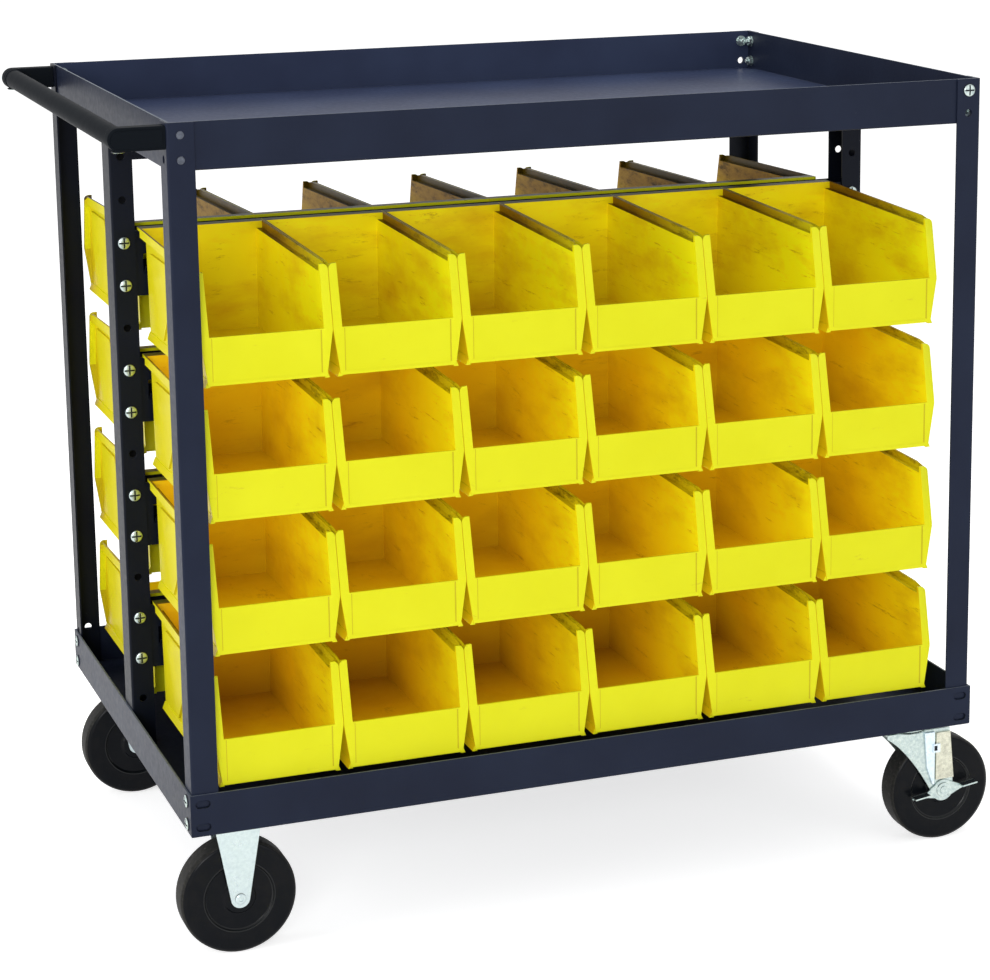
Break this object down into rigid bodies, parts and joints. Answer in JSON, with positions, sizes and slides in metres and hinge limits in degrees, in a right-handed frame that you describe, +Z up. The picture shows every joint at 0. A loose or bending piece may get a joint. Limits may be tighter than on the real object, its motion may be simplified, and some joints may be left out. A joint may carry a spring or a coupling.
{
  "type": "mobile bin cart",
  "caption": "Steel stock cart on casters with a top tray, a lower shelf, an end push handle and open-front hopper bins hung on rails along both sides",
  "frame": {"origin": "On the floor, under the middle of the whole cart's bounding box.", "axes": "+X runs along the cart away from the push handle, +Y towards the rear bins, +Z up."},
  "size_m": [1.0224, 0.6142, 0.9024],
  "materials": {
    "painted_steel": "satin",
    "yellow_plastic": "satin",
    "black_plastic": "satin",
    "wheel_black": "matte",
    "zinc_plate": "bright zinc"
  },
  "bodies": {
    "cart": {"top_tray": "painted_steel", "tray_stiffener": "painted_steel", "lower_shelf": "painted_steel", "corner_post_front_left": "painted_steel", "corner_post_front_right": "painted_steel", "corner_post_rear_left": "painted_steel", "corner_post_rear_right": "painted_steel", "centre_post_left": "painted_steel", "centre_post_right": "painted_steel", "bin_rail_front_1": "painted_steel", "bin_rail_front_2": "painted_steel", "bin_rail_front_3": "painted_steel", "bin_rail_front_4": "painted_steel", "bin_rail_rear_1": "painted_steel", "bin_rail_rear_2": "painted_steel", "bin_rail_rear_3": "painted_steel", "bin_rail_rear_4": "painted_steel", "push_handle": "black_plastic", "rigid_caster_front_bracket": "zinc_plate", "swivel_caster_front_plate": "zinc_plate", "rigid_caster_rear_bracket": "zinc_plate", "swivel_caster_rear_plate": "zinc_plate"},
    "rigid_wheel_front": {"rigid_caster_front_wheel": "wheel_black"},
    "swivel_front": {"swivel_caster_front_fork": "zinc_plate", "swivel_caster_front_axle": "zinc_plate"},
    "swivel_wheel_front": {"swivel_caster_front_wheel": "wheel_black"},
    "brake_front": {"swivel_caster_front_brake": "zinc_plate"},
    "rigid_wheel_rear": {"rigid_caster_rear_wheel": "wheel_black"},
    "swivel_rear": {"swivel_caster_rear_fork": "zinc_plate", "swivel_caster_rear_axle": "zinc_plate"},
    "swivel_wheel_rear": {"swivel_caster_rear_wheel": "wheel_black"},
    "brake_rear": {"swivel_caster_rear_brake": "zinc_plate"},
    "bin_front_1_1": {"bin_front_1_1": "yellow_plastic"},
    "bin_front_1_2": {"bin_front_1_2": "yellow_plastic"},
    "bin_front_1_3": {"bin_front_1_3": "yellow_plastic"},
    "bin_front_1_4": {"bin_front_1_4": "yellow_plastic"},
    "bin_front_1_5": {"bin_front_1_5": "yellow_plastic"},
    "bin_front_1_6": {"bin_front_1_6": "yellow_plastic"},
    "bin_front_2_1": {"bin_front_2_1": "yellow_plastic"},
    "bin_front_2_2": {"bin_front_2_2": "yellow_plastic"},
    "bin_front_2_3": {"bin_front_2_3": "yellow_plastic"},
    "bin_front_2_4": {"bin_front_2_4": "yellow_plastic"},
    "bin_front_2_5": {"bin_front_2_5": "yellow_plastic"},
    "bin_front_2_6": {"bin_front_2_6": "yellow_plastic"},
    "bin_front_3_1": {"bin_front_3_1": "yellow_plastic"},
    "bin_front_3_2": {"bin_front_3_2": "yellow_plastic"},
    "bin_front_3_3": {"bin_front_3_3": "yellow_plastic"},
    "bin_front_3_4": {"bin_front_3_4": "yellow_plastic"},
    "bin_front_3_5": {"bin_front_3_5": "yellow_plastic"},
    "bin_front_3_6": {"bin_front_3_6": "yellow_plastic"},
    "bin_front_4_1": {"bin_front_4_1": "yellow_plastic"},
    "bin_front_4_2": {"bin_front_4_2": "yellow_plastic"},
    "bin_front_4_3": {"bin_front_4_3": "yellow_plastic"},
    "bin_front_4_4": {"bin_front_4_4": "yellow_plastic"},
    "bin_front_4_5": {"bin_front_4_5": "yellow_plastic"},
    "bin_front_4_6": {"bin_front_4_6": "yellow_plastic"},
    "bin_row_rear_1": {"bin_row_rear_1": "yellow_plastic"},
    "bin_row_rear_2": {"bin_row_rear_2": "yellow_plastic"},
    "bin_row_rear_3": {"bin_row_rear_3": "yellow_plastic"},
    "bin_row_rear_4": {"bin_row_rear_4": "yellow_plastic"}
  },
  "joints": [
    {"name": "rigid_wheel_front_roll", "type": "hinge", "parent": "cart", "child": "rigid_wheel_front", "pos_m": [-0.3977, -0.2543, 0.0635], "axis": [0, 1, 0], "continuous": true},
    {"name": "swivel_front_turn", "type": "hinge", "parent": "cart", "child": "swivel_front", "pos_m": [0.4057, -0.2543, 0.139], "axis": [0, 0, 1], "continuous": true},
    {"name": "swivel_wheel_front_roll", "type": "hinge", "parent": "swivel_front", "child": "swivel_wheel_front", "pos_m": [0.4477, -0.2543, 0.0635], "axis": [0, 1, 0], "continuous": true},
    {"name": "brake_front_rock", "type": "hinge", "parent": "swivel_front", "child": "brake_front", "pos_m": [0.4477, -0.2543, 0.0635], "axis": [0, 1, 0], "range_deg": [0, 16]},
    {"name": "rigid_wheel_rear_roll", "type": "hinge", "parent": "cart", "child": "rigid_wheel_rear", "pos_m": [-0.3977, 0.2543, 0.0635], "axis": [0, 1, 0], "continuous": true},
    {"name": "swivel_rear_turn", "type": "hinge", "parent": "cart", "child": "swivel_rear", "pos_m": [0.4057, 0.2543, 0.139], "axis": [0, 0, 1], "continuous": true},
    {"name": "swivel_wheel_rear_roll", "type": "hinge", "parent": "swivel_rear", "child": "swivel_wheel_rear", "pos_m": [0.4477, 0.2543, 0.0635], "axis": [0, 1, 0], "continuous": true},
    {"name": "brake_rear_rock", "type": "hinge", "parent": "swivel_rear", "child": "brake_rear", "pos_m": [0.4477, 0.2543, 0.0635], "axis": [0, 1, 0], "range_deg": [0, 16]},
    {"name": "bin_front_1_1_lift_off", "type": "slide", "parent": "cart", "child": "bin_front_1_1", "axis": [0, -0.9986, 0.0523], "range_m": [0, 0.3]},
    {"name": "bin_front_1_2_lift_off", "type": "slide", "parent": "cart", "child": "bin_front_1_2", "axis": [0, -0.9986, 0.0523], "range_m": [0, 0.3]},
    {"name": "bin_front_1_3_lift_off", "type": "slide", "parent": "cart", "child": "bin_front_1_3", "axis": [0, -0.9986, 0.0523], "range_m": [0, 0.3]},
    {"name": "bin_front_1_4_lift_off", "type": "slide", "parent": "cart", "child": "bin_front_1_4", "axis": [0, -0.9986, 0.0523], "range_m": [0, 0.3]},
    {"name": "bin_front_1_5_lift_off", "type": "slide", "parent": "cart", "child": "bin_front_1_5", "axis": [0, -0.9986, 0.0523], "range_m": [0, 0.3]},
    {"name": "bin_front_1_6_lift_off", "type": "slide", "parent": "cart", "child": "bin_front_1_6", "axis": [0, -0.9986, 0.0523], "range_m": [0, 0.3]},
    {"name": "bin_front_2_1_lift_off", "type": "slide", "parent": "cart", "child": "bin_front_2_1", "axis": [0, -0.9986, 0.0523], "range_m": [0, 0.3]},
    {"name": "bin_front_2_2_lift_off", "type": "slide", "parent": "cart", "child": "bin_front_2_2", "axis": [0, -0.9986, 0.0523], "range_m": [0, 0.3]},
    {"name": "bin_front_2_3_lift_off", "type": "slide", "parent": "cart", "child": "bin_front_2_3", "axis": [0, -0.9986, 0.0523], "range_m": [0, 0.3]},
    {"name": "bin_front_2_4_lift_off", "type": "slide", "parent": "cart", "child": "bin_front_2_4", "axis": [0, -0.9986, 0.0523], "range_m": [0, 0.3]},
    {"name": "bin_front_2_5_lift_off", "type": "slide", "parent": "cart", "child": "bin_front_2_5", "axis": [0, -0.9986, 0.0523], "range_m": [0, 0.3]},
    {"name": "bin_front_2_6_lift_off", "type": "slide", "parent": "cart", "child": "bin_front_2_6", "axis": [0, -0.9986, 0.0523], "range_m": [0, 0.3]},
    {"name": "bin_front_3_1_lift_off", "type": "slide", "parent": "cart", "child": "bin_front_3_1", "axis": [0, -0.9986, 0.0523], "range_m": [0, 0.3]},
    {"name": "bin_front_3_2_lift_off", "type": "slide", "parent": "cart", "child": "bin_front_3_2", "axis": [0, -0.9986, 0.0523], "range_m": [0, 0.3]},
    {"name": "bin_front_3_3_lift_off", "type": "slide", "parent": "cart", "child": "bin_front_3_3", "axis": [0, -0.9986, 0.0523], "range_m": [0, 0.3]},
    {"name": "bin_front_3_4_lift_off", "type": "slide", "parent": "cart", "child": "bin_front_3_4", "axis": [0, -0.9986, 0.0523], "range_m": [0, 0.3]},
    {"name": "bin_front_3_5_lift_off", "type": "slide", "parent": "cart", "child": "bin_front_3_5", "axis": [0, -0.9986, 0.0523], "range_m": [0, 0.3]},
    {"name": "bin_front_3_6_lift_off", "type": "slide", "parent": "cart", "child": "bin_front_3_6", "axis": [0, -0.9986, 0.0523], "range_m": [0, 0.3]},
    {"name": "bin_front_4_1_lift_off", "type": "slide", "parent": "cart", "child": "bin_front_4_1", "axis": [0, -0.9986, 0.0523], "range_m": [0, 0.3]},
    {"name": "bin_front_4_2_lift_off", "type": "slide", "parent": "cart", "child": "bin_front_4_2", "axis": [0, -0.9986, 0.0523], "range_m": [0, 0.3]},
    {"name": "bin_front_4_3_lift_off", "type": "slide", "parent": "cart", "child": "bin_front_4_3", "axis": [0, -0.9986, 0.0523], "range_m": [0, 0.3]},
    {"name": "bin_front_4_4_lift_off", "type": "slide", "parent": "cart", "child": "bin_front_4_4", "axis": [0, -0.9986, 0.0523], "range_m": [0, 0.3]},
    {"name": "bin_front_4_5_lift_off", "type": "slide", "parent": "cart", "child": "bin_front_4_5", "axis": [0, -0.9986, 0.0523], "range_m": [0, 0.3]},
    {"name": "bin_front_4_6_lift_off", "type": "slide", "parent": "cart", "child": "bin_front_4_6", "axis": [0, -0.9986, 0.0523], "range_m": [0, 0.3]},
    {"name": "bin_row_rear_1_lift_off", "type": "slide", "parent": "cart", "child": "bin_row_rear_1", "axis": [0, 0.9986, 0.0523], "range_m": [0, 0.3]},
    {"name": "bin_row_rear_2_lift_off", "type": "slide", "parent": "cart", "child": "bin_row_rear_2", "axis": [0, 0.9986, 0.0523], "range_m": [0, 0.3]},
    {"name": "bin_row_rear_3_lift_off", "type": "slide", "parent": "cart", "child": "bin_row_rear_3", "axis": [0, 0.9986, 0.0523], "range_m": [0, 0.3]},
    {"name": "bin_row_rear_4_lift_off", "type": "slide", "parent": "cart", "child": "bin_row_rear_4", "axis": [0, 0.9986, 0.0523], "range_m": [0, 0.3]}
  ]
}
